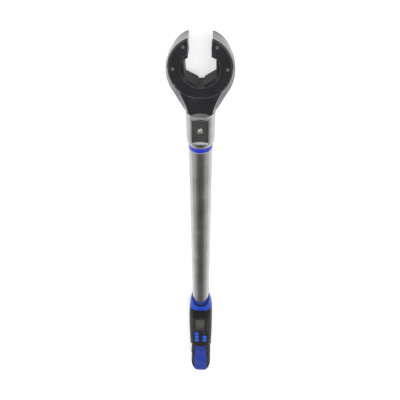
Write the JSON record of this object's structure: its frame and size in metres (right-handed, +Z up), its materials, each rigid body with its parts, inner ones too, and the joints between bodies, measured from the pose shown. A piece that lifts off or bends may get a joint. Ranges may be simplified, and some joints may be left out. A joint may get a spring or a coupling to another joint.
{
  "type": "torque wrench",
  "caption": "Long electronic torque wrench: slotted hexagon through-ratchet head on a spigot, chrome tube, and a blue and black handle with display, keys and battery bay.",
  "frame": {"origin": "on the resting plane, under the middle of the tool's length and width", "axes": "+Y from the handle to the head along the tube, +Z up out of the display and the head's front plate, +X to the right seen from the front"},
  "size_m": [0.07, 0.7223, 0.0346],
  "materials": {
    "head_housing": "polished chrome-plated forging",
    "front_cover_plate": "black oxide, satin",
    "rear_cover_plate": "black oxide, satin",
    "cover_screws": "black oxide",
    "ratchet_ring": "black oxide",
    "left_pawl": "hardened steel",
    "right_pawl": "hardened steel",
    "pawl_pins": "ground steel",
    "left_pawl_spring": "spring wire",
    "right_pawl_spring": "spring wire",
    "catch_pin": "polished steel",
    "catch_plug": "turned steel",
    "catch_spring": "spring wire",
    "head_socket": "polished chrome",
    "blue_ring": "moulded blue plastic",
    "main_tube": "satin chrome over fine draw lines",
    "sensing_beam": "milled steel",
    "strain_gauges": "foil on film",
    "beam_bush": "natural nylon",
    "sensor_cable": "soft black jacket",
    "sensor_plug": "white nylon",
    "handle_collar": "moulded blue plastic",
    "collar_seal": "black rubber",
    "upper_shell": "fine textured black",
    "lower_shell": "fine textured black",
    "grip_cover": "satin blue",
    "left_side_grip": "black soft grip",
    "right_side_grip": "black soft grip",
    "display_bezel": "satin black",
    "display_lens": "clear window",
    "lcd_panel": "grey-green liquid crystal",
    "circuit_board": "green solder mask",
    "board_screws": "zinc plated",
    "tact_switches": "black with steel caps",
    "keypad_membrane": "silicone",
    "indicator_lens": "dark tinted",
    "indicator_led": "clear epoxy",
    "buzzer": "black case",
    "batteries": "plain printed sleeve",
    "battery_contacts": "nickel plated",
    "battery_door": "fine textured black",
    "case_screws": "black zinc",
    "left_button_top": "bright blue",
    "left_button_middle": "bright blue",
    "left_button_bottom": "bright blue",
    "right_button_top": "bright blue",
    "right_button_bottom": "bright blue"
  },
  "bodies": {
    "wrench_body": {"head_housing": "head_housing", "front_cover_plate": "front_cover_plate", "rear_cover_plate": "rear_cover_plate", "cover_screws": "cover_screws", "pawl_pins": "pawl_pins", "left_pawl_spring": "left_pawl_spring", "right_pawl_spring": "right_pawl_spring", "catch_plug": "catch_plug", "catch_spring": "catch_spring", "head_socket": "head_socket", "blue_ring": "blue_ring", "main_tube": "main_tube", "sensing_beam": "sensing_beam", "strain_gauges": "strain_gauges", "beam_bush": "beam_bush", "sensor_cable": "sensor_cable", "sensor_plug": "sensor_plug", "handle_collar": "handle_collar", "collar_seal": "collar_seal", "upper_shell": "upper_shell", "lower_shell": "lower_shell", "grip_cover": "grip_cover", "left_side_grip": "left_side_grip", "right_side_grip": "right_side_grip", "display_bezel": "display_bezel", "display_lens": "display_lens", "lcd_panel": "lcd_panel", "circuit_board": "circuit_board", "board_screws": "board_screws", "tact_switches": "tact_switches", "keypad_membrane": "keypad_membrane", "indicator_lens": "indicator_lens", "indicator_led": "indicator_led", "buzzer": "buzzer", "batteries": "batteries", "battery_contacts": "battery_contacts", "case_screws": "case_screws"},
    "ratchet_ring": {"ratchet_ring": "ratchet_ring"},
    "left_pawl": {"left_pawl": "left_pawl"},
    "right_pawl": {"right_pawl": "right_pawl"},
    "catch_pin": {"catch_pin": "catch_pin"},
    "battery_door": {"battery_door": "battery_door"},
    "left_button_top": {"left_button_top": "left_button_top"},
    "left_button_middle": {"left_button_middle": "left_button_middle"},
    "left_button_bottom": {"left_button_bottom": "left_button_bottom"},
    "right_button_top": {"right_button_top": "right_button_top"},
    "right_button_bottom": {"right_button_bottom": "right_button_bottom"}
  },
  "joints": [
    {"name": "ring_spin", "type": "hinge", "parent": "wrench_body", "child": "ratchet_ring", "pos_m": [0, 0.33, 0.0164], "axis": [0, 0, 1], "continuous": true},
    {"name": "left_pawl_swing", "type": "hinge", "parent": "wrench_body", "child": "left_pawl", "pos_m": [0.0005, 0.3016, 0.0164], "axis": [0, 0, 1], "range_deg": [0, 5], "stiffness_Nm_per_rad": 0.02, "springref_deg": -6.88, "deforming": ["left_pawl_spring"]},
    {"name": "right_pawl_swing", "type": "hinge", "parent": "wrench_body", "child": "right_pawl", "pos_m": [0.02614, 0.3189, 0.0164], "axis": [0, 0, 1], "range_deg": [0, 5], "stiffness_Nm_per_rad": 0.02, "springref_deg": -6.88, "deforming": ["right_pawl_spring"]},
    {"name": "catch_press", "type": "slide", "parent": "wrench_body", "child": "catch_pin", "axis": [0, 0, -1], "range_m": [0, 0.0061], "stiffness_N_per_m": 600, "springref_m": -0.002, "deforming": ["catch_spring"]},
    {"name": "left_button_top_press", "type": "slide", "parent": "wrench_body", "child": "left_button_top", "axis": [0, 0, -1], "range_m": [0, 0.0008], "stiffness_N_per_m": 1500, "springref_m": -0.0004},
    {"name": "left_button_middle_press", "type": "slide", "parent": "wrench_body", "child": "left_button_middle", "axis": [0, 0, -1], "range_m": [0, 0.0008], "stiffness_N_per_m": 1500, "springref_m": -0.0004},
    {"name": "left_button_bottom_press", "type": "slide", "parent": "wrench_body", "child": "left_button_bottom", "axis": [0, 0, -1], "range_m": [0, 0.0008], "stiffness_N_per_m": 1500, "springref_m": -0.0004},
    {"name": "right_button_top_press", "type": "slide", "parent": "wrench_body", "child": "right_button_top", "axis": [0, 0, -1], "range_m": [0, 0.0008], "stiffness_N_per_m": 1500, "springref_m": -0.0004},
    {"name": "right_button_bottom_press", "type": "slide", "parent": "wrench_body", "child": "right_button_bottom", "axis": [0, 0, -1], "range_m": [0, 0.0008], "stiffness_N_per_m": 1500, "springref_m": -0.0004},
    {"name": "battery_door_pull", "type": "slide", "parent": "wrench_body", "child": "battery_door", "axis": [0, 0, -1], "range_m": [0, 0.015]}
  ]
}
